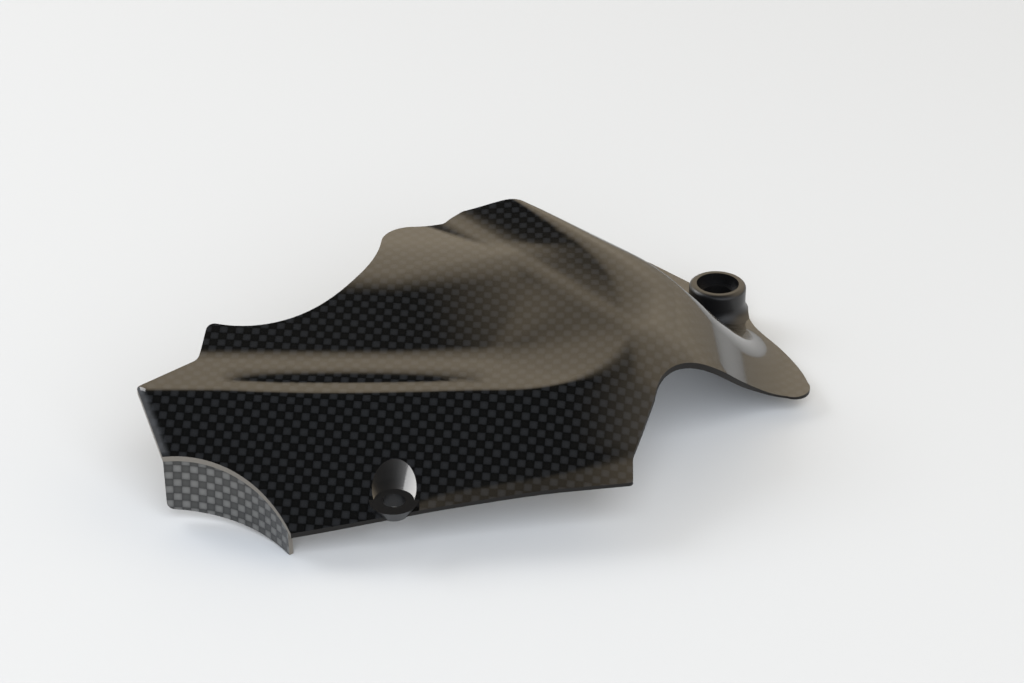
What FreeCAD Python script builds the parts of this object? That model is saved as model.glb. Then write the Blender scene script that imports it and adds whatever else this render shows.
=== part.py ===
import FreeCAD, Part
import math
import os

# Sprocket cover: one moulded shell of woven laminate, trimmed to its outline.
# The origin is on the rear bolt's axis, on the plane that the cover is bolted down to.
# X runs along the front fold, Y to the rear, Z up. Millimetres and degrees.

V = FreeCAD.Vector

# Laminate, and the height of the brim's underside above the boss's seat
WALL = 1.1
BRIM_LIFT = 0.5

# Front wall, with the fold along its top
FOLD_Y = -79.0
FOLD_HEIGHT = 24.9
FOLD_BLEND = 0.7
FRONT_TILT = 35.0
FRONT_TURN_X = -55.0
FRONT_TURN_RADIUS = 63.0

# Flare of the front wall's free edge
FLARE_X = -46.7
FLARE_Y = -100.4
FLARE_HEIGHT = 9.0
FLARE_TILT_X = 3.4
FLARE_TILT_Y = 5.7
FLARE_END_X = -66.0
FLARE_END_RADIUS = 125.0
FLARE_BLEND = 3.0

# Terrace behind the fold
TERRACE_TILT = 2.9
TERRACE_TURN_X = -60.0
TERRACE_TURN_RADIUS = 250.0
TERRACE_BLEND = 0.8

# Crescent step pressed into the terrace
STEP_START_X = -124.0
STEP_LENGTH = 62.0
STEP_HEIGHT = 1.0
STEP_WIDTH = 6.0
STEP_BEHIND_FOLD = 2.0
STEP_SKEW = 0.8

# Dome over the sprocket
DOME_FOOT_Y = -64.0
DOME_TILT = 23.3
DOME_HEIGHT = 35.9
DOME_TOP_Y = -25.0
DOME_RADIUS = 120.0
DOME_BLEND = 1.2
DOME_END_X = -85.0
DOME_END_RADIUS = 700.0
DOME_END_TILT = 9.1
DOME_EASE_LENGTH = 64.0

# Ridge behind the dome, with a crease along its foot
RIDGE_X = -53.5
RIDGE_Y = -31.7
RIDGE_HEIGHT = 34.4
RIDGE_HEADING = -43.0
RIDGE_FALL = 6.6
RIDGE_TILT = 12.7
RIDGE_END_TILT = 4.6
RIDGE_EASE_LENGTH = 41.0
RIDGE_STRIP = 5.0
RIDGE_STRIP_TILT = 2.9
RIDGE_STRIP_BLEND = 0.6
RIDGE_FRONT_TILT = 16.7
CREASE_HEIGHT = 0.5
CREASE_TILT = 28.8
CREASE_END = -8.0
CREASE_FADE = 28.0
CREASE_BLEND = 0.3
CREASE_TOP_BLEND = 0.8
RIDGE_MERGE = 2.7

# Rear and right walls, down to the brim
REAR_HEADING = 47.0
REAR_FOOT = -7.6
REAR_TILT = 48.4
RIGHT_FOOT_X = 10.6
RIGHT_TILT = 50.2
CORNER_BLEND = 10.0
REAR_FOLD_BLEND = 3.0
REAR_FOLD_GROWTH = 2.2
REAR_FOLD_X = -55.0
REAR_FOLD_LENGTH = 40.0
BRIM_BLEND = 7.0
NOSE_X = -45.0
NOSE_LENGTH = 35.0
NOSE_BLEND = 7.3

# Concave cut at the front left, and the lip that stands along it
LIP_X = -134.3
LIP_Y = -125.2
LIP_RADIUS = 32.4
CUT_START = 31.0
LIP_START = 35.5
LIP_END = 95.3
LIP_INSET = 0.6
LIP_DROP = 3.6
LIP_CORNER = 2.0

# Corners of the outline, in order from the lip
LEFT_TIP = (-144.8, -77.8)
LEFT_NOTCH = (-131.5, -66.0)
LEFT_SHOULDER = (-130.0, -54.8)
BAY_MIDDLE = (-98.8, -46.8)
BAY_END = (-89.0, -27.0)
DOME_CORNER = (-88.2, -17.0)
DOME_END = (-73.0, -16.2)
RIDGE_START = (-68.3, -11.4)
RIDGE_CORNER = (-51.0, -6.6)
REAR_LEFT = (-30.0, 27.0)
REAR_CORNER = (-18.5, 29.0)
FIN_OUTER = [(9.6, -8.6), (14.2, -18.3), (18.0, -27.0), (20.7, -37.5)]
FIN_TIP = (19.3, -43.4)
FIN_INNER = [(14.6, -44.8), (7.0, -48.6), (1.1, -55.1), (-7.2, -62.2), (-15.4, -66.6), (-21.3, -75.5)]
ARCH_FOOT = (-27.0, -89.6)
FRONT_RIGHT = (-27.2, -96.9)

# Corner radii of the outline
TIP_RADIUS = 1.5
NOTCH_RADIUS = 4.0
SHOULDER_RADIUS = 2.0
DOME_CORNER_RADIUS = 8.0
DOME_STEP_RADIUS = 2.0
RIDGE_START_RADIUS = 3.0
RIDGE_CORNER_RADIUS = 3.0
REAR_RADIUS = 6.0
FRONT_CORNER_RADIUS = 1.0

# Boss round the rear bolt
BOSS_DIAMETER = 15.4
BOSS_HEIGHT = 10.0
BOSS_RIM = 1.2
BOSS_FOOT = 4.0
BOSS_LAND = 0.9
COUNTERBORE_DIAMETER = 11.4
COUNTERBORE_DEPTH = 3.0
BOLT_HOLE = 8.2

# Seat of the front screw, sunk in the front wall
SEAT_X = -82.9
SEAT_INSET = 3.1
SEAT_RISE = 0.2
SEAT_DIAMETER = 9.4
SEAT_THICKNESS = 3.6
SEAT_DRAFT = 34.0
SEAT_DEPTH = 8.0
SCREW_HOLE = 5.4

# Extent of the blank that is moulded before it is trimmed
BLANK_LEFT = -154.0
BLANK_RIGHT = 30.0
BLANK_FRONT = -120.0
BLANK_REAR = 38.0
BLANK_DEPTH = 90.0

# Spacing of the net that the blank is drawn over, which is closer at the folds and wider on the softer inside
STATION_SPACING = 3.6
ROW_SPACING = 2.8
FOLD_BAND = 24.0
FOLD_ROW_SPACING = 1.2
CREASE_BAND = 30.0
CREASE_ROW_SPACING = 1.8
INNER_SPACING = 1.8


def slope(tilt):
    return math.tan(math.radians(tilt))


def ease(t):
    """Goes smoothly from 0 to 1 while t does."""
    t = min(max(t, 0.0), 1.0)
    return t * t * (3 - 2 * t)


def lower(a, b, blend):
    """The lower of two heights, rounded over where they come within blend of each other."""
    overlap = max(blend - abs(a - b), 0.0)
    return min(a, b) - overlap ** 2 / (4 * blend)


def higher(a, b, blend):
    """The higher of two heights, with their valley filled in the same way."""
    return -lower(-a, -b, blend)


def front_wall(x, y):
    turn = max(x - FRONT_TURN_X, 0.0) ** 2 / (2 * FRONT_TURN_RADIUS)
    wall = FOLD_HEIGHT + slope(FRONT_TILT) * (y - FOLD_Y - turn)
    flare = FLARE_HEIGHT + slope(FLARE_TILT_X) * (x - FLARE_X) + slope(FLARE_TILT_Y) * (y - FLARE_Y)
    flare -= max(FLARE_END_X - x, 0.0) ** 2 / (2 * FLARE_END_RADIUS)
    return higher(wall, flare, FLARE_BLEND)


def terrace(x, y):
    turn = max(x - TERRACE_TURN_X, 0.0) ** 2 / (2 * TERRACE_TURN_RADIUS)
    along = min(max((x - STEP_START_X) / STEP_LENGTH, 0.0), 1.0)
    across = min(max((y - FOLD_Y - STEP_BEHIND_FOLD) / STEP_WIDTH, 0.0), 1.0)
    step = STEP_HEIGHT * math.sin(math.pi * along ** STEP_SKEW)
    return FOLD_HEIGHT + slope(TERRACE_TILT) * (y - FOLD_Y) + turn - step * (1 - across) ** 2


def dome(x, y):
    run = max(x - DOME_END_X, 0.0)
    share = min(run / DOME_EASE_LENGTH, 1.0)
    rise = slope(DOME_TILT) + share * (slope(DOME_END_TILT) - slope(DOME_TILT))
    foot = FOLD_HEIGHT + slope(TERRACE_TILT) * (DOME_FOOT_Y - FOLD_Y)
    side = foot + rise * (y - DOME_FOOT_Y)
    top = DOME_HEIGHT - run ** 2 / (2 * DOME_END_RADIUS)
    top -= max(DOME_TOP_Y - y, 0.0) ** 2 / (2 * DOME_RADIUS)
    return lower(side, top, DOME_BLEND)


def along_ridge(x, y):
    heading = math.radians(RIDGE_HEADING)
    return (x - RIDGE_X) * math.cos(heading) + (y - RIDGE_Y) * math.sin(heading)


def across_ridge(x, y):
    heading = math.radians(RIDGE_HEADING)
    return (y - RIDGE_Y) * math.cos(heading) - (x - RIDGE_X) * math.sin(heading)


def crease_fade(x, y):
    return ease((along_ridge(x, y) - CREASE_END) / CREASE_FADE)


def ridge(x, y):
    across = across_ridge(x, y)
    sharp = 1 - crease_fade(x, y)
    base = RIDGE_HEIGHT - slope(RIDGE_FALL) * along_ridge(x, y)
    share = min(along_ridge(x, y) / RIDGE_EASE_LENGTH, 1.0)
    rise = slope(RIDGE_TILT) + share * (slope(RIDGE_END_TILT) - slope(RIDGE_TILT))
    strip = base + slope(RIDGE_STRIP_TILT) * across
    back = base + slope(RIDGE_STRIP_TILT) * RIDGE_STRIP + rise * (across - RIDGE_STRIP)
    front_rise = slope(RIDGE_FRONT_TILT) + sharp * (slope(CREASE_TILT) - slope(RIDGE_FRONT_TILT))
    front = base + CREASE_HEIGHT * sharp + front_rise * across
    return lower(higher(strip, back, RIDGE_STRIP_BLEND), front, CREASE_TOP_BLEND)


def crown(x, y):
    deck = higher(terrace(x, y), dome(x, y), TERRACE_BLEND)
    return higher(deck, ridge(x, y), CREASE_BLEND + RIDGE_MERGE * crease_fade(x, y))


def rear_distance(x, y):
    heading = math.radians(REAR_HEADING)
    return x * math.cos(heading) + y * math.sin(heading)


def outer_height(x, y):
    brim = BRIM_LIFT + WALL
    rear = brim + slope(REAR_TILT) * (REAR_FOOT - rear_distance(x, y))
    right = brim + slope(RIGHT_TILT) * (RIGHT_FOOT_X - x)
    walls = lower(rear, right, CORNER_BLEND)
    fold = REAR_FOLD_BLEND + REAR_FOLD_GROWTH * min(max((x - REAR_FOLD_X) / REAR_FOLD_LENGTH, 0.0), 1.0)
    body = higher(lower(crown(x, y), walls, fold), brim, BRIM_BLEND)
    return lower(body, front_wall(x, y), FOLD_BLEND + NOSE_BLEND * ease((x - NOSE_X) / NOSE_LENGTH))


def inner_point(x, y):
    """The point of the inner face, one wall straight in from the outer face."""
    probe = 0.05
    rise_x = (outer_height(x + probe, y) - outer_height(x - probe, y)) / (2 * probe)
    rise_y = (outer_height(x, y + probe) - outer_height(x, y - probe)) / (2 * probe)
    inward = V(rise_x, rise_y, -1)
    inward.normalize()
    return V(x, y, outer_height(x, y)) + inward * WALL


def outer_point(x, y):
    return V(x, y, outer_height(x, y))


def spread(start, end, spacing):
    """Evenly spaced values from start up to end, without end."""
    count = max(round((end - start) / spacing), 1)
    return [start + (end - start) * i / count for i in range(count)]


def rows(coarser):
    """The Y of each row of the net, from the front to the rear."""
    fold_start = FOLD_Y - FOLD_BAND / 4
    fold_end = fold_start + FOLD_BAND
    crease_start = RIDGE_Y - CREASE_BAND / 4
    crease_end = crease_start + CREASE_BAND
    ys = spread(BLANK_FRONT, fold_start, ROW_SPACING * coarser)
    ys += spread(fold_start, fold_end, FOLD_ROW_SPACING * coarser)
    ys += spread(fold_end, crease_start, ROW_SPACING * coarser)
    ys += spread(crease_start, crease_end, CREASE_ROW_SPACING * coarser)
    ys += spread(crease_end, BLANK_REAR, ROW_SPACING * coarser)
    return ys + [BLANK_REAR]


def stations(coarser):
    """The X of each cross-section of the net, from left to right."""
    return spread(BLANK_LEFT, BLANK_RIGHT, STATION_SPACING * coarser) + [BLANK_RIGHT]


def knots(count):
    """Multiplicities and knots of a cubic curve over this many poles, which starts and ends on its poles."""
    mults = [4] + [1] * (count - 4) + [4]
    return mults, list(range(len(mults)))


def moulded_block(point, coarser=1.0):
    """Everything below one face of the blank, which is drawn smoothly over a net of its cross-sections."""
    net = [[point(x, y) for y in rows(coarser)] for x in stations(coarser)]
    along_mults, along = knots(len(net))
    across_mults, across = knots(len(net[0]))
    surface = Part.BSplineSurface()
    surface.buildFromPolesMultsKnots(net, along_mults, across_mults, along, across, False, False, 3, 3)
    return surface.toShape().extrude(V(0, 0, -BLANK_DEPTH))


def flat(xy, z=0.0):
    return V(xy[0], xy[1], z)


def on_cut(angle, radius=LIP_RADIUS):
    return (LIP_X + radius * math.cos(math.radians(angle)), LIP_Y + radius * math.sin(math.radians(angle)))


def line(start, end):
    return Part.makeLine(flat(start), flat(end))


def arc(start, middle, end):
    return Part.Arc(flat(start), flat(middle), flat(end)).toShape()


def curve(points):
    spline = Part.BSplineCurve()
    spline.interpolate([flat(p) for p in points])
    return spline.toShape()


def round_corner(solid, corner, radius):
    """Rounds the upright edge of a prism at a corner of its outline."""
    def at_corner(edge):
        return all(math.hypot(v.X - corner[0], v.Y - corner[1]) < WALL / 100 for v in edge.Vertexes)

    return solid.makeFillet(radius, [edge for edge in solid.Edges if at_corner(edge)])


def outline_prism():
    """The trimmed outline, as an upright prism through the blank."""
    flange = BOSS_DIAMETER / 2 + BOSS_LAND
    flange_start = (0.0, flange)
    flange_middle = (flange * math.sqrt(0.5), flange * math.sqrt(0.5))
    flange_end = (flange, 0.0)
    edges = [
        arc(on_cut(CUT_START), on_cut((CUT_START + LIP_END) / 2), on_cut(LIP_END)),
        line(on_cut(LIP_END), LEFT_TIP),
        line(LEFT_TIP, LEFT_NOTCH),
        line(LEFT_NOTCH, LEFT_SHOULDER),
        arc(LEFT_SHOULDER, BAY_MIDDLE, BAY_END),
        line(BAY_END, DOME_CORNER),
        line(DOME_CORNER, DOME_END),
        line(DOME_END, RIDGE_START),
        line(RIDGE_START, RIDGE_CORNER),
        line(RIDGE_CORNER, REAR_LEFT),
        line(REAR_LEFT, REAR_CORNER),
        line(REAR_CORNER, flange_start),
        arc(flange_start, flange_middle, flange_end),
        curve([flange_end] + FIN_OUTER),
        arc(FIN_OUTER[-1], FIN_TIP, FIN_INNER[0]),
        curve(FIN_INNER),
        line(FIN_INNER[-1], ARCH_FOOT),
        line(ARCH_FOOT, FRONT_RIGHT),
        line(FRONT_RIGHT, on_cut(CUT_START)),
    ]
    prism = Part.Face(Part.Wire(edges)).extrude(V(0, 0, 2 * FOLD_HEIGHT))
    prism.translate(V(0, 0, -LIP_DROP))
    prism = round_corner(prism, LEFT_TIP, TIP_RADIUS)
    prism = round_corner(prism, LEFT_NOTCH, NOTCH_RADIUS)
    prism = round_corner(prism, LEFT_SHOULDER, SHOULDER_RADIUS)
    prism = round_corner(prism, DOME_CORNER, DOME_CORNER_RADIUS)
    prism = round_corner(prism, DOME_END, DOME_STEP_RADIUS)
    prism = round_corner(prism, RIDGE_START, RIDGE_START_RADIUS)
    prism = round_corner(prism, RIDGE_CORNER, RIDGE_CORNER_RADIUS)
    prism = round_corner(prism, REAR_LEFT, REAR_RADIUS)
    prism = round_corner(prism, REAR_CORNER, REAR_RADIUS)
    prism = round_corner(prism, ARCH_FOOT, NOTCH_RADIUS)
    return round_corner(prism, FRONT_RIGHT, FRONT_CORNER_RADIUS)


def lip_wall():
    """The upright lip along the concave cut, with its foot falling to the right and its left corner rounded."""
    near = LIP_RADIUS + LIP_INSET
    far = near + WALL
    middle = (LIP_START + LIP_END) / 2
    ring = Part.Face(Part.Wire([
        arc(on_cut(LIP_START, near), on_cut(middle, near), on_cut(LIP_END, near)),
        line(on_cut(LIP_END, near), on_cut(LIP_END, far)),
        arc(on_cut(LIP_END, far), on_cut(middle, far), on_cut(LIP_START, far)),
        line(on_cut(LIP_START, far), on_cut(LIP_START, near)),
    ]))
    ring.translate(V(0, 0, -LIP_DROP))
    wall = ring.extrude(V(0, 0, 2 * FOLD_HEIGHT))
    left = flat(on_cut(LIP_END, near))
    right = flat(on_cut(LIP_START, near), -LIP_DROP)
    fall = right - left
    downward = fall.cross(V(fall.y, -fall.x, 0))
    wall = wall.cut(Part.makeCylinder(4 * LIP_RADIUS, 4 * LIP_RADIUS, left, downward))
    corner = min(wall.Edges, key=lambda edge: edge.CenterOfMass.distanceToPoint(left))
    return wall.makeFillet(LIP_CORNER, [corner])


def boss(outline):
    """The turned boss with its flared foot sunk in the brim, trimmed with the brim."""
    radius = BOSS_DIAMETER / 2
    brim = BRIM_LIFT + WALL
    turn = math.sqrt(0.5)
    neck = V(radius, 0, brim + BOSS_FOOT - WALL / 2)
    foot_middle = neck + V(1 - turn, 0, -turn) * BOSS_FOOT
    foot = neck + V(1, 0, -1) * BOSS_FOOT
    shoulder = V(radius, 0, BOSS_HEIGHT - BOSS_RIM)
    rim_middle = shoulder + V(turn - 1, 0, turn) * BOSS_RIM
    rim = shoulder + V(-1, 0, 1) * BOSS_RIM
    profile = Part.Wire([
        Part.makeLine(V(0, 0, 0), V(radius, 0, 0)),
        Part.makeLine(V(radius, 0, 0), V(radius, 0, foot.z)),
        Part.makeLine(V(radius, 0, foot.z), foot),
        Part.Arc(foot, foot_middle, neck).toShape(),
        Part.makeLine(neck, shoulder),
        Part.Arc(shoulder, rim_middle, rim).toShape(),
        Part.makeLine(rim, V(0, 0, BOSS_HEIGHT)),
        Part.makeLine(V(0, 0, BOSS_HEIGHT), V(0, 0, 0)),
    ])
    return Part.Face(profile).revolve(V(0, 0, 0), V(0, 0, 1), 360).common(outline)


def bolt_hole():
    hole = Part.makeCylinder(BOLT_HOLE / 2, 2 * BOSS_HEIGHT, V(0, 0, -BOSS_HEIGHT / 2))
    bottom = BOSS_HEIGHT - COUNTERBORE_DEPTH
    return hole.fuse(Part.makeCylinder(COUNTERBORE_DIAMETER / 2, 2 * COUNTERBORE_DEPTH, V(0, 0, bottom)))


def seat_centre():
    """The screw's axis at the height of its seat, set in from the free edge of the front wall."""
    left = on_cut(CUT_START)
    share = (SEAT_X - FRONT_RIGHT[0]) / (left[0] - FRONT_RIGHT[0])
    y = FRONT_RIGHT[1] + share * (left[1] - FRONT_RIGHT[1]) + SEAT_INSET
    return V(SEAT_X, y, front_wall(SEAT_X, y) + SEAT_RISE)


def seat_cone(radius, down, up):
    """A cone round the screw's axis, with this radius at the height of the seat, which widens upward."""
    draft = slope(SEAT_DRAFT)
    foot = seat_centre() - V(0, 0, down)
    return Part.makeCone(radius - draft * down, radius + draft * up, down + up, foot)


def screw_hole():
    return Part.makeCylinder(SCREW_HOLE / 2, 4 * SEAT_THICKNESS, seat_centre() - V(0, 0, 2 * SEAT_THICKNESS))


def sprocket_cover():
    outline = outline_prism()
    cup_radius = SEAT_DIAMETER / 2 + WALL
    outside = moulded_block(outer_point).cut(seat_cone(SEAT_DIAMETER / 2, 0, SEAT_DEPTH))
    hollow = moulded_block(inner_point, INNER_SPACING).cut(lip_wall())
    hollow = hollow.cut(seat_cone(cup_radius, SEAT_THICKNESS, SEAT_DEPTH))
    cover = outline.common(outside).cut(hollow)
    cover = cover.fuse(seat_cone(cup_radius, SEAT_THICKNESS, 0))
    cover = cover.cut(screw_hole())
    cover = cover.fuse(boss(outline)).cut(bolt_hole())
    return cover.removeSplitter()


os.makedirs("parts", exist_ok=True)
sprocket_cover().exportStep("parts/sprocket_cover.step")
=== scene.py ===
import logging
import math
from dataclasses import dataclass, field
from enum import Enum
from typing import Any

import bmesh
import bpy
import numpy as np
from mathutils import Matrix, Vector, kdtree


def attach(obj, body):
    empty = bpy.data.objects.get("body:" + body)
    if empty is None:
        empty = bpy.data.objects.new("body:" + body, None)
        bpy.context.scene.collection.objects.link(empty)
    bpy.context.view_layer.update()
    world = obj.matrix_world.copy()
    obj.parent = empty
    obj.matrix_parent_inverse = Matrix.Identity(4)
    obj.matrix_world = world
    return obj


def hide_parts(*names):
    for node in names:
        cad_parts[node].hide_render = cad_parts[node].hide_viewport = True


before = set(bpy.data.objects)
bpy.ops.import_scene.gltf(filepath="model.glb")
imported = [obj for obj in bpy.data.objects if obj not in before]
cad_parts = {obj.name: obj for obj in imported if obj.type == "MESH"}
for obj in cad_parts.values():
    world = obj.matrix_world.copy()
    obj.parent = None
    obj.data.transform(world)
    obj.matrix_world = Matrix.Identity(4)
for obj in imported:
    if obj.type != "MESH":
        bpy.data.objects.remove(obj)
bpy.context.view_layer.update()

MM = 0.001
LOG = logging.getLogger("sprocket_cover")
Colour = tuple[float, float, float, float]
Stops = tuple[tuple[float, str, float], ...]
# Corners of each face, as every mesh here is made of triangles
CORNERS = 3
# Keeps the third axis of the chequer away from the walls of its cells
MID_CELL = 0.5


class Zone(Enum):
    """The finishes that the cover carries, in the order of its material slots."""

    OUTSIDE = 0
    INSIDE = 1
    LIP = 2
    # Two copies of the one laminate edge: a lighter one at the left end with painted light, and a darker one
    # elsewhere with painted shade
    RAW_EDGE = 3
    SEALED_EDGE = 4
    COLLAR = 5
    RECESS = 6


def linear(colour: str, level: float = 1.0) -> Colour:
    """Turns an sRGB hex colour into linear values.

    Args:
        colour: Six hex digits after a hash sign.
        level: Factor on the linear values.

    Returns:
        Linear red, green and blue, with alpha 1.
    """
    shares = [int(colour[i:i + 2], 16) / 255 for i in (1, 3, 5)]
    curved = [s / 12.92 if s <= 0.04045 else ((s + 0.055) / 1.055) ** 2.4 for s in shares]
    return (curved[0] * level, curved[1] * level, curved[2] * level, 1.0)


def add_node(tree: bpy.types.NodeTree, kind: str, settings: dict[str, Any] | None = None,
             sockets: dict[Any, Any] | None = None) -> bpy.types.Node:
    """Adds one node, sets it up and links its inputs.

    Args:
        tree: The tree that the node goes into.
        kind: Blender's type name of the node.
        settings: Properties of the node.
        sockets: Values or output sockets for the node's inputs, by name or number.

    Returns:
        The new node.
    """
    node = tree.nodes.new(kind)
    for name, value in (settings or {}).items():
        setattr(node, name, value)
    for name, value in (sockets or {}).items():
        if isinstance(value, bpy.types.NodeSocket):
            tree.links.new(value, node.inputs[name])
        else:
            node.inputs[name].default_value = value
    return node


def new_material(name: str) -> tuple[bpy.types.Material, bpy.types.NodeTree]:
    """Makes an empty node material and returns it with its tree."""
    material = bpy.data.materials.new(name)
    material.use_nodes = True
    material.node_tree.nodes.clear()
    return material, material.node_tree


@dataclass(frozen=True)
class CarbonCloth:
    """Plain-weave carbon cloth in clear resin.

    It gives the eye a fine chequer of grey and black tows, under a deep gloss or bare. The grey of the weft
    squares is painted sheen, and each cell is darkened towards its edges.
    """

    name: str
    tow_mm: float = 2.0
    # Painted sheen: the colour of the lighter squares, which stand in for the light that the weft tows catch
    weft_painted_sheen: str = "#18191b"
    warp: str = "#060606"
    roughness: float = 0.5
    sheen: float = 0.03
    roundness: float = 0.25
    relief_mm: float = 0.05
    relief_strength: float = 0.3
    coat: float = 1.0
    coat_roughness: float = 0.07
    coat_ior: float = 1.5

    def material(self) -> bpy.types.Material:
        """Builds the weave from the piece's own map, which is in millimetres.

        Returns:
            The finished material.
        """
        material, tree = new_material(self.name)
        uv = add_node(tree, "ShaderNodeUVMap", {"uv_map": "cloth"})
        tows = add_node(tree, "ShaderNodeMapping", sockets={
            "Vector": uv.outputs["UV"], "Scale": (1 / self.tow_mm, 1 / self.tow_mm, 1.0),
            "Location": (0, 0, MID_CELL)})
        # Painted sheen: the chequer's lighter weft squares stand in for light caught by the tows
        chequer = add_node(tree, "ShaderNodeTexChecker", sockets={
            "Vector": tows.outputs["Vector"], "Scale": 1.0,
            "Color1": linear(self.weft_painted_sheen), "Color2": linear(self.warp)})
        share = add_node(tree, "ShaderNodeVectorMath", {"operation": "FRACTION"}, {
            0: tows.outputs["Vector"]})
        half_turn = add_node(tree, "ShaderNodeVectorMath", {"operation": "SCALE"}, {
            0: share.outputs["Vector"], "Scale": math.pi})
        swell = add_node(tree, "ShaderNodeVectorMath", {"operation": "SINE"}, {
            0: half_turn.outputs["Vector"]})
        axes = add_node(tree, "ShaderNodeSeparateXYZ", sockets={0: swell.outputs["Vector"]})
        pillow = add_node(tree, "ShaderNodeMath", {"operation": "MULTIPLY"}, {
            0: axes.outputs["X"], 1: axes.outputs["Y"]})
        raised = add_node(tree, "ShaderNodeMath", {"operation": "POWER"}, {
            0: pillow.outputs[0], 1: self.roundness})
        # Each cell is darkened towards its edges
        colour = add_node(tree, "ShaderNodeVectorMath", {"operation": "SCALE"}, {
            0: chequer.outputs["Color"], "Scale": raised.outputs[0]})
        bump = add_node(tree, "ShaderNodeBump", sockets={
            "Height": raised.outputs[0], "Distance": self.relief_mm * MM, "Strength": self.relief_strength})
        shader = add_node(tree, "ShaderNodeBsdfPrincipled", sockets={
            "Base Color": colour.outputs["Vector"], "Roughness": self.roughness,
            "Specular IOR Level": self.sheen, "Normal": bump.outputs["Normal"], "Coat Weight": self.coat,
            "Coat Roughness": self.coat_roughness, "Coat IOR": self.coat_ior})
        add_node(tree, "ShaderNodeOutputMaterial", sockets={"Surface": shader.outputs["BSDF"]})
        return material


@dataclass(frozen=True)
class PlainResin:
    """Even finish without visible tows.

    It looks dull on cut edges and the table, silky on the collar and wet in the recess.
    """

    name: str
    colour: str
    roughness: float
    coat: float = 0.0
    coat_roughness: float = 0.08
    sheen: float = 0.5

    def material(self) -> bpy.types.Material:
        """Builds the even finish and returns it."""
        material, tree = new_material(self.name)
        shader = add_node(tree, "ShaderNodeBsdfPrincipled", sockets={
            "Base Color": linear(self.colour), "Roughness": self.roughness,
            "Specular IOR Level": self.sheen, "Coat Weight": self.coat,
            "Coat Roughness": self.coat_roughness})
        add_node(tree, "ShaderNodeOutputMaterial", sockets={"Surface": shader.outputs["BSDF"]})
        return material


def slope(tilt: float) -> float:
    """Returns the rise of a slope of this many degrees over a run of 1."""
    return math.tan(math.radians(tilt))


def ease(share: np.ndarray) -> np.ndarray:
    """Goes smoothly from 0 to 1 while the share does."""
    share = np.clip(share, 0.0, 1.0)
    return share * share * (3 - 2 * share)


def lower(a: np.ndarray, b: np.ndarray, blend: float | np.ndarray) -> np.ndarray:
    """Returns the lower of two heights, rounded over where they come within the blend of each other."""
    overlap = np.maximum(blend - np.abs(a - b), 0.0)
    return np.minimum(a, b) - overlap ** 2 / (4 * blend)


def higher(a: np.ndarray, b: np.ndarray, blend: float | np.ndarray) -> np.ndarray:
    """Returns the higher of two heights, with their valley filled in the same way."""
    return -lower(-a, -b, blend)


@dataclass(frozen=True)
class FrontForm:
    """The front wall with its flared edge, and the terrace with its step. Millimetres and degrees."""

    fold_y: float = -79.0
    fold_height: float = 24.9
    tilt: float = 35.0
    turn_x: float = -55.0
    turn_radius: float = 63.0
    flare: tuple[float, float, float] = (-46.7, -100.4, 12.2)
    flare_tilts: tuple[float, float] = (3.4, 17.0)
    flare_end_x: float = -66.0
    flare_end_radius: float = 125.0
    flare_blend: float = 1.0
    flare_turn: float = 0.5
    terrace_tilt: float = 2.9
    terrace_turn_x: float = -60.0
    terrace_turn_radius: float = 250.0
    step_start_x: float = -124.0
    step_length: float = 62.0
    step_tilt: float = 34.0
    step_start: float = 0.16
    step_width: float = 6.0
    step_behind_fold: float = 3.5
    step_skew: float = 0.8
    step_bluntness: float = 0.5

    def wall(self, x: np.ndarray, y: np.ndarray) -> np.ndarray:
        """Returns the height of the front wall over each place."""
        turn = np.maximum(x - self.turn_x, 0.0) ** 2 / (2 * self.turn_radius)
        wall = self.fold_height + slope(self.tilt) * (y - self.fold_y - turn)
        flare = self.flare[2] + slope(self.flare_tilts[0]) * (x - self.flare[0])
        flare = flare + slope(self.flare_tilts[1]) * (y - self.flare[1]) - self.flare_turn * turn
        flare = flare - np.maximum(self.flare_end_x - x, 0.0) ** 2 / (2 * self.flare_end_radius)
        return higher(wall, flare, self.flare_blend)

    def terrace(self, x: np.ndarray, y: np.ndarray) -> np.ndarray:
        """Returns the height of the terrace over each place."""
        turn = np.maximum(x - self.terrace_turn_x, 0.0) ** 2 / (2 * self.terrace_turn_radius)
        return self.fold_height + slope(self.terrace_tilt) * (y - self.fold_y) + turn

    def step(self, x: np.ndarray, y: np.ndarray) -> np.ndarray:
        """Returns the slope that the crescent step adds at each place."""
        along = np.clip((x - self.step_start_x) / self.step_length, 0.0, 1.0)
        across = (y - self.fold_y - self.step_behind_fold) / self.step_width
        fall = np.clip(across / self.step_start, 0.0, 1.0) * np.maximum(1 - across, 0.0)
        ends = np.sin(math.pi * along ** self.step_skew) ** self.step_bluntness
        return slope(self.step_tilt) * fall * ends


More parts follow.
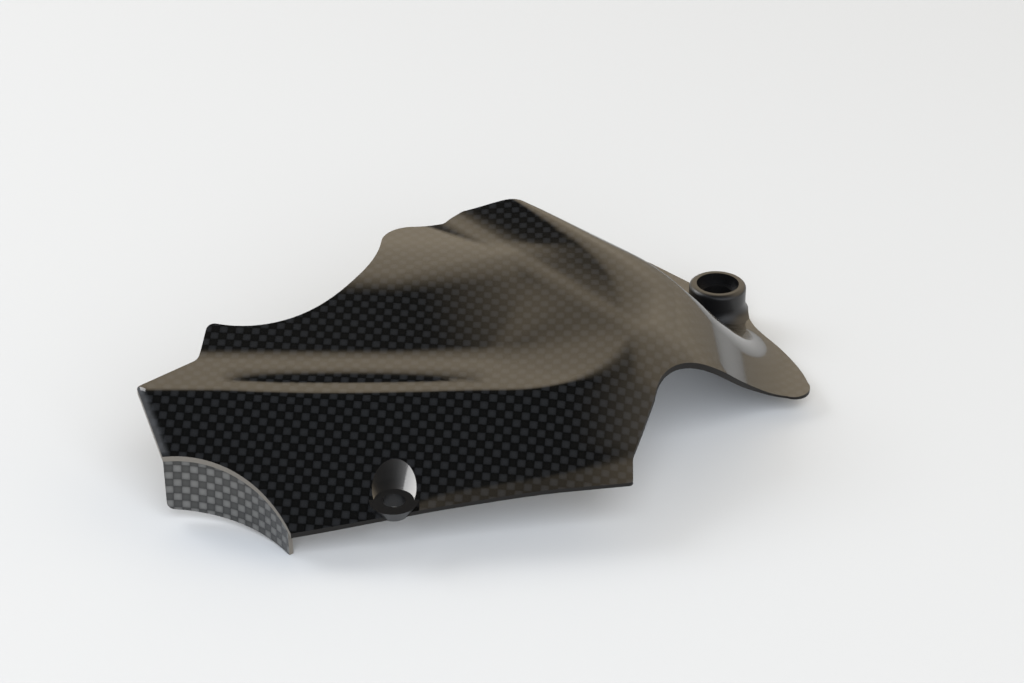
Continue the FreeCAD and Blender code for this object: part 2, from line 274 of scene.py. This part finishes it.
@dataclass(frozen=True)
class CrownForm:
    """The dome and the ridge behind it, with the crease between them. Millimetres and degrees."""

    dome_foot: tuple[float, float] = (-64.0, 25.66)
    dome_tilts: tuple[float, float] = (23.3, 9.1)
    dome_height: float = 35.9
    dome_top_y: float = -25.0
    dome_radius: float = 120.0
    dome_blend: float = 1.2
    dome_end_x: float = -85.0
    dome_end_radius: float = 700.0
    dome_ease_length: float = 64.0
    ridge_place: tuple[float, float, float] = (-53.5, -31.7, 34.4)
    ridge_heading: float = -43.0
    ridge_fall: float = 6.6
    ridge_tilts: tuple[float, float] = (12.7, 4.6)
    ridge_ease_length: float = 41.0
    strip: float = 5.0
    strip_tilt: float = 2.9
    strip_blend: float = 0.6
    front_tilts: tuple[float, float] = (28.8, 16.7)
    crease_height: float = 1.1
    crease_end: float = -8.0
    crease_fade_length: float = 28.0
    crease_top_blend: float = 0.8

    def dome(self, x: np.ndarray, y: np.ndarray) -> np.ndarray:
        """Returns the height of the dome over each place."""
        run = np.maximum(x - self.dome_end_x, 0.0)
        share = np.minimum(run / self.dome_ease_length, 1.0)
        rise = slope(self.dome_tilts[0]) + share * (slope(self.dome_tilts[1]) - slope(self.dome_tilts[0]))
        side = self.dome_foot[1] + rise * (y - self.dome_foot[0])
        top = self.dome_height - run ** 2 / (2 * self.dome_end_radius)
        top = top - np.maximum(self.dome_top_y - y, 0.0) ** 2 / (2 * self.dome_radius)
        return lower(side, top, self.dome_blend)

    def along(self, x: np.ndarray, y: np.ndarray) -> np.ndarray:
        """Returns how far along the ridge each place is."""
        heading = math.radians(self.ridge_heading)
        return (x - self.ridge_place[0]) * math.cos(heading) + (y - self.ridge_place[1]) * math.sin(heading)

    def across(self, x: np.ndarray, y: np.ndarray) -> np.ndarray:
        """Returns how far behind the crease each place is."""
        heading = math.radians(self.ridge_heading)
        return (y - self.ridge_place[1]) * math.cos(heading) - (x - self.ridge_place[0]) * math.sin(heading)

    def fade(self, x: np.ndarray, y: np.ndarray) -> np.ndarray:
        """Returns how far the crease has faded out at each place, from 0 to 1."""
        return ease((self.along(x, y) - self.crease_end) / self.crease_fade_length)

    def ridge(self, x: np.ndarray, y: np.ndarray) -> np.ndarray:
        """Returns the height of the ridge over each place."""
        across, along, sharp = self.across(x, y), self.along(x, y), 1 - self.fade(x, y)
        base = self.ridge_place[2] - slope(self.ridge_fall) * along
        share = np.minimum(along / self.ridge_ease_length, 1.0)
        rise = slope(self.ridge_tilts[0]) + share * (slope(self.ridge_tilts[1]) - slope(self.ridge_tilts[0]))
        strip = base + slope(self.strip_tilt) * across
        back = base + slope(self.strip_tilt) * self.strip + rise * (across - self.strip)
        steep, gentle = slope(self.front_tilts[0]), slope(self.front_tilts[1])
        front_rise = gentle + sharp * (steep - gentle)
        front = base + self.crease_height * sharp + front_rise * across
        return lower(higher(strip, back, self.strip_blend), front, self.crease_top_blend)


@dataclass(frozen=True)
class ShellForm:
    """The form that gives the glossy skin its normals. Millimetres and degrees.

    Its folds are crisper than the solid's, and some of its slopes differ, so it shades the skin
    and never moves it.
    """

    front: FrontForm = FrontForm()
    crown: CrownForm = CrownForm()
    brim: float = 1.6
    terrace_blend: float = 0.8
    crease_blend: float = 0.3
    ridge_merge: float = 2.7
    rear_heading: float = 47.0
    rear_foot: float = -7.6
    rear_tilt: float = 48.4
    right_foot_x: float = 13.0
    right_tilt: float = 44.0
    corner_blend: float = 10.0
    rear_fold: tuple[float, float] = (3.0, 14.0)
    rear_fold_x: float = -55.0
    rear_fold_length: float = 40.0
    brim_blend: float = 13.0
    fold_blend: float = 0.7
    nose_blend: float = 7.3
    nose_x: float = -45.0
    nose_length: float = 35.0
    probe: float = 0.1
    ridge_lean: float = 0.14
    lean_behind_crease: float = 1.0
    lean_depth: float = 21.0
    lean_end: float = 28.0
    lean_ramp: float = 3.0
    lean_fade: float = 20.0

    def height(self, x: np.ndarray, y: np.ndarray) -> np.ndarray:
        """Returns the height of the outer face over each place."""
        fade = self.crown.fade(x, y)
        deck = higher(self.front.terrace(x, y), self.crown.dome(x, y), self.terrace_blend)
        crown = higher(deck, self.crown.ridge(x, y), self.crease_blend + self.ridge_merge * fade)
        heading = math.radians(self.rear_heading)
        rear_run = self.rear_foot - x * math.cos(heading) - y * math.sin(heading)
        rear = self.brim + slope(self.rear_tilt) * rear_run
        right = self.brim + slope(self.right_tilt) * (self.right_foot_x - x)
        walls = lower(rear, right, self.corner_blend)
        growth = np.clip((x - self.rear_fold_x) / self.rear_fold_length, 0.0, 1.0)
        body = lower(crown, walls, self.rear_fold[0] + self.rear_fold[1] * growth)
        body = higher(body, np.full_like(x, self.brim), self.brim_blend)
        nose = self.nose_blend * ease((x - self.nose_x) / self.nose_length)
        return lower(body, self.front.wall(x, y), self.fold_blend + nose)

    def normals(self, points: np.ndarray) -> np.ndarray:
        """Finds the outward normals of the outer face.

        Args:
            points: Rows of X, Y and Z.

        Returns:
            One unit normal for each row.
        """
        x, y, reach = points[:, 0], points[:, 1], self.probe
        rise_x = (self.height(x + reach, y) - self.height(x - reach, y)) / (2 * reach)
        rise_y = (self.height(x, y + reach) - self.height(x, y - reach)) / (2 * reach)
        rise_y = rise_y + self.front.step(x, y)
        across, along = self.crown.across(x, y), self.crown.along(x, y)
        on_ridge = ease((across - self.lean_behind_crease) / self.lean_ramp)
        on_ridge = on_ridge * ease((self.lean_depth - across) / self.lean_ramp)
        lean = self.ridge_lean * on_ridge * (1 - ease((along - self.lean_end) / self.lean_fade))
        normals = np.stack([-rise_x, -rise_y - lean, np.ones_like(x)], axis=1)
        return normals / np.linalg.norm(normals, axis=1, keepdims=True)


@dataclass
class Patch:
    """One smooth face of the cover, as the vertices and faces of the unmerged copy."""

    vertices: np.ndarray
    faces: list[int]
    points: np.ndarray
    normals: np.ndarray
    area: float


@dataclass
class MouldedCover:
    """The moulded shell with its lip, collar and screw seat, as one piece. Lengths in millimetres."""

    node: str = "sprocket_cover"
    piece: str = "carbon_cover"
    shell_area: float = 5000.0
    collar_reach: float = 13.0
    form: ShellForm = ShellForm()
    cuts: int = 2
    seat_centre: tuple[float, float] = (-82.9, -101.95)
    seat_reach: float = 9.0
    seat_facing: float = 0.9
    recess_facing: float = 0.3
    recess_end_facing: float = 0.1
    seat_lean: tuple[float, float, float] = (0.0, -0.45, 0.0)
    recess_lean: tuple[float, float, float] = (-0.52, -0.27, 1.6)
    lip_centre: tuple[float, float] = (-134.3, -125.2)
    lip_radius: float = 33.5
    lip_reach: float = 3.0
    lip_area: float = 100.0
    # Where the lighter copy of the edge, with painted light, ends
    lit_edge_end: float = -104.0
    lit_edge_back: float = -70.0
    front_wall_end: float = -82.0
    left_edge: tuple[tuple[float, float], tuple[float, float]] = ((-144.8, -77.8), (-137.3, -92.9))
    edge_round: float = 2.2
    edge_lean: float = 1.2
    neighbours: int = 26
    fit_least: int = 10
    fit_falloff: float = 2.5
    fit_damping: tuple[float, ...] = (1e-6, 1e-4, 1e-4, 1e-2, 1e-2, 1e-2)
    near_x: float = 0.9
    least_reach: float = 1e-6
    least_area: float = 1e-12
    island_margin: float = 0.001
    merge: float = 0.002
    finishes: dict[Zone, Any] = field(default_factory=dict)

    def patches(self, bm: bmesh.types.BMesh) -> list[Patch]:
        """Splits the unmerged copy into its smooth faces, which share no vertices.

        Args:
            bm: The copy, with its indices up to date.

        Returns:
            One patch for each face of the solid.
        """
        points = np.array([v.co for v in bm.verts]) / MM
        normals = np.array([v.normal for v in bm.verts])
        seen: set[int] = set()
        found = []
        for start in bm.faces:
            if start.index in seen:
                continue
            seen.add(start.index)
            queue, faces = [start], []
            while queue:
                face = queue.pop()
                faces.append(face)
                for other in (f for v in face.verts for f in v.link_faces):
                    if other.index not in seen:
                        seen.add(other.index)
                        queue.append(other)
            ids = np.array(sorted({v.index for f in faces for v in f.verts}))
            area = sum(f.calc_area() for f in faces) / MM ** 2
            found.append(Patch(ids, [f.index for f in faces], points[ids], normals[ids], area))
        return found

    def even_normals(self, patch: Patch) -> np.ndarray:
        """Finds the normals of the smooth face under a patch, by a curved fit round each vertex.

        Args:
            patch: The patch.

        Returns:
            One unit normal for each vertex of the patch.
        """
        count = min(self.neighbours, len(patch.points))
        if count < self.fit_least:
            return patch.normals
        tree = kdtree.KDTree(len(patch.points))
        for i, p in enumerate(patch.points):
            tree.insert(Vector(p), i)
        tree.balance()
        near = np.array([[i for _, i, _ in tree.find_n(Vector(p), count)] for p in patch.points])
        n = patch.normals
        side = np.where(np.abs(n[:, :1]) < self.near_x, np.array([[1.0, 0, 0]]), np.array([[0, 1.0, 0]]))
        t = np.cross(n, side)
        t /= np.linalg.norm(t, axis=1, keepdims=True)
        b = np.cross(n, t)
        offset = patch.points[near] - patch.points[:, None, :]
        x = np.einsum("ijk,ik->ij", offset, t)
        y = np.einsum("ijk,ik->ij", offset, b)
        z = np.einsum("ijk,ik->ij", offset, n)
        reach = np.sqrt((x ** 2 + y ** 2).max(1, keepdims=True)) + self.least_reach
        x, y, z = x / reach, y / reach, z / reach
        weight = np.exp(-self.fit_falloff * (x ** 2 + y ** 2))
        terms = np.stack([np.ones_like(x), x, y, x * x, x * y, y * y], axis=-1)
        square = np.einsum("ija,ij,ijb->iab", terms, weight, terms)
        square += np.diag(self.fit_damping)
        right = np.einsum("ija,ij,ij->ia", terms, weight, z)
        fit = np.linalg.solve(square, right[..., None])[..., 0]
        even = n - fit[:, 1:2] * t - fit[:, 2:3] * b
        return even / np.linalg.norm(even, axis=1, keepdims=True)

    def dressed_normals(self, patch: Patch) -> np.ndarray:
        """Finds the normals of a patch, which lean on the screw seat and on its recess, for shading only.

        Args:
            patch: The patch.

        Returns:
            One unit normal for each vertex of the patch.
        """
        normals = self.even_normals(patch)
        middle = patch.points.mean(0)
        facing_up = patch.normals[:, 2].mean()
        from_seat = np.hypot(middle[0] - self.seat_centre[0], middle[1] - self.seat_centre[1])
        if from_seat < self.seat_reach:
            if facing_up > self.seat_facing:
                normals = normals + np.array(self.seat_lean)
            elif facing_up > self.recess_facing:
                normals = normals + np.array(self.recess_lean)
        return normals / np.linalg.norm(normals, axis=1, keepdims=True)

    def zone(self, patch: Patch) -> Zone:
        """Tells which finish a patch has.

        Args:
            patch: The patch.

        Returns:
            Its zone.
        """
        middle = patch.points.mean(0)
        if patch.area > self.shell_area:
            return Zone.OUTSIDE if patch.normals[:, 2].mean() > 0 else Zone.INSIDE
        if np.hypot(middle[0], middle[1]) < self.collar_reach:
            return Zone.COLLAR
        from_seat = np.hypot(middle[0] - self.seat_centre[0], middle[1] - self.seat_centre[1])
        if from_seat < self.seat_reach:
            faces_up = patch.normals[:, 2].mean() > self.recess_end_facing
            return Zone.RECESS if faces_up else Zone.COLLAR
        from_centre = patch.points[:, :2] - np.array(self.lip_centre)
        from_lip = np.hypot(from_centre[:, 0], from_centre[:, 1])
        if np.abs(from_lip - self.lip_radius).max() < self.lip_reach and patch.area > self.lip_area:
            return Zone.LIP
        # Edges at the left end take painted light, all others painted shade
        on_lit_edge = middle[0] < self.lit_edge_end and middle[1] < self.lit_edge_back
        return Zone.RAW_EDGE if on_lit_edge else Zone.SEALED_EDGE

    def lay_cloth(self, piece: bpy.types.Object, patches: list[Patch]) -> None:
        """Unwraps every patch, scales its map to its area in millimetres and turns it along the front wall.

        Args:
            piece: The unmerged copy.
            patches: Its patches.
        """
        mesh = piece.data
        mesh.uv_layers.new(name="cloth")
        bpy.context.view_layer.objects.active = piece
        piece.select_set(True)
        bpy.ops.object.mode_set(mode="EDIT")
        bpy.ops.mesh.select_all(action="SELECT")
        bpy.ops.uv.unwrap(method="ANGLE_BASED", margin=self.island_margin)
        bpy.ops.object.mode_set(mode="OBJECT")
        loops = np.zeros(len(mesh.loops) * 2)
        layer = mesh.uv_layers["cloth"].data
        layer.foreach_get("uv", loops)
        loops = loops.reshape(-1, 2)
        corner = np.zeros(len(mesh.loops), int)
        mesh.loops.foreach_get("vertex_index", corner)
        points = np.array([v.co for v in mesh.vertices]) / MM
        for patch in patches:
            rows = np.array([i for f in patch.faces for i in mesh.polygons[f].loop_indices])
            uv, at = loops[rows], points[corner[rows]]
            first, second = uv[1::CORNERS] - uv[0::CORNERS], uv[2::CORNERS] - uv[0::CORNERS]
            flat = np.abs(first[:, 0] * second[:, 1] - first[:, 1] * second[:, 0]).sum() / 2
            uv = uv * math.sqrt(patch.area / max(flat, self.least_area))
            wall = at[:, 1] < self.front_wall_end
            chosen = wall if wall.any() and patch.area > self.shell_area else np.ones(len(at), bool)
            along = at[chosen, 0] - at[chosen, 0].mean()
            turn = math.atan2((uv[chosen, 1] * along).sum(), (uv[chosen, 0] * along).sum())
            spin = np.array([[math.cos(turn), -math.sin(turn)], [math.sin(turn), math.cos(turn)]])
            loops[rows] = uv @ spin
        layer.foreach_set("uv", loops.ravel())

    def round_left_edge(self, points: np.ndarray) -> np.ndarray:
        """Finds the skin's normals, which lean out at the front wall's left edge as if it were round.

        Args:
            points: Rows of X, Y and Z on the skin.

        Returns:
            One unit normal for each row.
        """
        start, end = (np.array(corner) for corner in self.left_edge)
        run = (end - start) / np.linalg.norm(end - start)
        outward = np.array([run[1], -run[0], 0.0])
        inside = -(points[:, :2] - start) @ outward[:2]
        along = (points[:, :2] - start) @ run
        near = (along > 0) & (along < np.linalg.norm(end - start))
        lean = np.where(near, np.clip(1 - inside / self.edge_round, 0.0, 1.0), 0.0) * self.edge_lean
        normals = self.form.normals(points) + lean[:, None] * outward
        return normals / np.linalg.norm(normals, axis=1, keepdims=True)

    def set_normals(self, mesh: bpy.types.Mesh) -> None:
        """Gives the skin the normals of its form and every other face its even ones.

        Args:
            mesh: The merged and divided copy, with its two helper layers, which are used up.
        """
        normals = np.zeros(len(mesh.loops) * 3, np.float32)
        mesh.attributes["even_normal"].data.foreach_get("vector", normals)
        normals = normals.reshape(-1, 3)
        formed = np.zeros(len(mesh.polygons), np.int32)
        mesh.attributes["formed"].data.foreach_get("value", formed)
        corner = np.zeros(len(mesh.loops), np.int32)
        mesh.loops.foreach_get("vertex_index", corner)
        points = np.zeros(len(mesh.vertices) * 3)
        mesh.vertices.foreach_get("co", points)
        skin = np.repeat(formed, CORNERS) == 1
        normals[skin] = self.round_left_edge(points.reshape(-1, 3)[corner[skin]] / MM)
        for name in ("even_normal", "formed"):
            mesh.attributes.remove(mesh.attributes[name])
        mesh.normals_split_custom_set(normals.tolist())

    def build(self) -> bpy.types.Object:
        """Copies the solid's mesh, evens its normals, lays the cloth on it, merges it and dresses it.

        Returns:
            The finished piece.
        """
        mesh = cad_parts[self.node].data.copy()
        mesh.name = self.piece
        mesh.materials.clear()
        piece = bpy.data.objects.new(self.piece, mesh)
        bpy.context.scene.collection.objects.link(piece)
        bm = bmesh.new()
        bm.from_mesh(mesh)
        bm.normal_update()
        patches = self.patches(bm)
        zones = [self.zone(p) for p in patches]
        bm.free()
        self.lay_cloth(piece, patches)
        bm = bmesh.new()
        bm.from_mesh(mesh)
        bm.faces.ensure_lookup_table()
        even = bm.loops.layers.float_vector.new("even_normal")
        formed = bm.faces.layers.int.new("formed")
        for patch, zone in zip(patches, zones):
            normals = dict(zip(patch.vertices.tolist(), self.dressed_normals(patch).tolist()))
            for index in patch.faces:
                face = bm.faces[index]
                face.smooth = True
                face.material_index = zone.value
                face[formed] = int(zone is Zone.OUTSIDE)
                for loop in face.loops:
                    loop[even] = normals[loop.vert.index]
        bmesh.ops.remove_doubles(bm, verts=bm.verts, dist=self.merge * MM)
        skin_edges = list({edge for face in bm.faces if face[formed] for edge in face.edges})
        bmesh.ops.subdivide_edges(bm, edges=skin_edges, cuts=self.cuts, use_grid_fill=True)
        bmesh.ops.triangulate(bm, faces=bm.faces)
        bm.to_mesh(mesh)
        bm.free()
        self.set_normals(mesh)
        for zone in Zone:
            mesh.materials.append(self.finishes[zone].material())
        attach(piece, "root")
        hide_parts(self.node)
        LOG.info("%s: %d faces, %d patches", piece.name, len(mesh.polygons), len(patches))
        return piece


@dataclass
class Studio:
    """The pale table, the two soft lamps, the room and the camera. Lengths in metres."""

    table_height: float = -0.0037
    table_size: float = 2.0
    table_back: float = 2.0
    table_colour: str = "#b2b6bb"
    table_roughness: float = 0.8
    window_place: tuple[float, float, float] = (-0.9, 0.35, 0.75)
    window_size: float = 0.6
    window_power: float = 6.5
    front_place: tuple[float, float, float] = (0.3, -1.8, 1.6)
    front_size: float = 2.4
    front_power: float = 88.0
    camera_place: tuple[float, float, float] = (-0.0555, -0.5448, 0.3126)
    camera_target: tuple[float, float, float] = (-0.0555, -0.014, 0.0)
    lens_mm: float = 81.2
    sensor_mm: float = 36.0
    wall_side: tuple[float, float, float] = (0.5, 0.87, 0.0)
    wall_start: float = -0.1
    wall_full: float = 0.35
    back_stops: Stops = (
        (0.0, "#e2d4be", 0.75), (0.2, "#e8d8be", 1.2), (0.45, "#f0dfc4", 2.0),
        (0.8, "#ecdabe", 1.9), (0.87, "#e6d4b8", 1.5), (0.955, "#34383b", 0.8))
    front_stops: Stops = (
        (0.0, "#f2f5fa", 1.5), (0.4, "#eaeff6", 1.5), (0.7, "#b4bac2", 1.0), (0.93, "#34383b", 0.8))

    def table(self) -> None:
        """Lays the pale table under the cover."""
        bm = bmesh.new()
        bmesh.ops.create_grid(bm, x_segments=1, y_segments=1, size=self.table_size)
        middle = (0, self.table_back - self.table_size, self.table_height)
        bmesh.ops.translate(bm, verts=bm.verts, vec=middle)
        mesh = bpy.data.meshes.new("table")
        bm.to_mesh(mesh)
        bm.free()
        table = bpy.data.objects.new("table", mesh)
        bpy.context.scene.collection.objects.link(table)
        mesh.materials.append(PlainResin("pale table", self.table_colour, self.table_roughness).material())

    def sky(self, tree: bpy.types.NodeTree, height: bpy.types.NodeSocket,
            stops: Stops) -> bpy.types.NodeSocket:
        """Colours the room by height.

        Args:
            tree: The world's tree.
            height: The sine of the height over the horizon.
            stops: Places, colours and levels from the horizon up.

        Returns:
            The colour.
        """
        ramp = add_node(tree, "ShaderNodeValToRGB", sockets={0: height})
        while len(ramp.color_ramp.elements) < len(stops):
            ramp.color_ramp.elements.new(1.0)
        for element, (place, colour, level) in zip(ramp.color_ramp.elements, stops):
            element.position = place
            element.color = linear(colour, level)
        return ramp.outputs["Color"]

    def room(self) -> None:
        """Lights the room: a bright warm wall behind the cover, pale sides and front, and a dark ceiling."""
        world = bpy.data.worlds.new("room")
        bpy.context.scene.world = world
        world.use_nodes = True
        tree = world.node_tree
        tree.nodes.clear()
        place = add_node(tree, "ShaderNodeTexCoord")
        axes = add_node(tree, "ShaderNodeSeparateXYZ", sockets={0: place.outputs["Generated"]})
        back = self.sky(tree, axes.outputs["Z"], self.back_stops)
        front = self.sky(tree, axes.outputs["Z"], self.front_stops)
        towards = add_node(tree, "ShaderNodeVectorMath", {"operation": "DOT_PRODUCT"}, {
            0: place.outputs["Generated"], 1: self.wall_side})
        behind = add_node(tree, "ShaderNodeMapRange", sockets={
            "Value": towards.outputs["Value"], "From Min": self.wall_start,
            "From Max": self.wall_full})
        wall = add_node(tree, "ShaderNodeBackground", sockets={0: back, 1: 1.0})
        sides = add_node(tree, "ShaderNodeBackground", sockets={0: front, 1: 1.0})
        both = add_node(tree, "ShaderNodeMixShader", sockets={
            0: behind.outputs["Result"], 1: sides.outputs[0], 2: wall.outputs[0]})
        add_node(tree, "ShaderNodeOutputWorld", sockets={0: both.outputs[0]})

    def lamp(self, name: str, place: tuple[float, float, float], size: float,
             power: float) -> bpy.types.Object:
        """Hangs a soft square lamp, aimed at the cover.

        Args:
            name: Name of the lamp.
            place: Where it hangs.
            size: Length of its side.
            power: Power in watts.

        Returns:
            The lamp.
        """
        light = bpy.data.lights.new(name, "AREA")
        light.size = size
        light.energy = power
        lamp = bpy.data.objects.new(name, light)
        lamp.location = place
        aim = Vector(self.camera_target) - Vector(place)
        lamp.rotation_euler = aim.to_track_quat("-Z", "Y").to_euler()
        bpy.context.scene.collection.objects.link(lamp)
        return lamp

    def camera(self) -> None:
        """Sets the camera at the photograph's angle."""
        data = bpy.data.cameras.new("camera")
        data.lens = self.lens_mm
        data.sensor_width = self.sensor_mm
        camera = bpy.data.objects.new("camera", data)
        camera.location = self.camera_place
        aim = Vector(self.camera_target) - Vector(self.camera_place)
        camera.rotation_euler = aim.to_track_quat("-Z", "Y").to_euler()
        bpy.context.scene.collection.objects.link(camera)
        bpy.context.scene.camera = camera
        bpy.context.scene.view_settings.view_transform = "Standard"

    def build(self) -> None:
        """Sets up the whole studio."""
        self.table()
        self.room()
        self.lamp("window", self.window_place, self.window_size, self.window_power)
        front = self.lamp("front light", self.front_place, self.front_size, self.front_power)
        front.visible_glossy = False
        self.camera()


def main() -> None:
    """Builds the cover and its studio in order."""
    logging.basicConfig(level=logging.INFO)
    finishes = {
        Zone.OUTSIDE: CarbonCloth("glossy carbon cloth"),
        Zone.INSIDE: CarbonCloth("bare carbon cloth", coat=0.0, roughness=0.6),
        # The lip's cloth is a lighter copy of the same cloth: painted light, where the lip faces the lamps
        Zone.LIP: CarbonCloth(
            "carbon cloth on the lip, painted lighter", weft_painted_sheen="#535352", warp="#2d2d2c", coat_roughness=0.2),
        # One laminate edge in two copies: painted lighter at the left end, and painted dark as shade
        # elsewhere
        Zone.RAW_EDGE: PlainResin("laminate edge with painted light", "#5d5953", roughness=0.5),
        Zone.SEALED_EDGE: PlainResin("laminate edge with painted shade", "#141312", roughness=0.5, sheen=0.2),
        Zone.COLLAR: PlainResin("moulded resin collar", "#0d0d0e", roughness=0.35),
        # The recess is painted darker than the cloth round it, as shade
        Zone.RECESS: PlainResin("recess with painted shade", "#0a0a0b", roughness=0.3, coat=1.0),
    }
    MouldedCover(finishes=finishes).build()
    Studio().build()


if __name__ == "__main__":
    main()
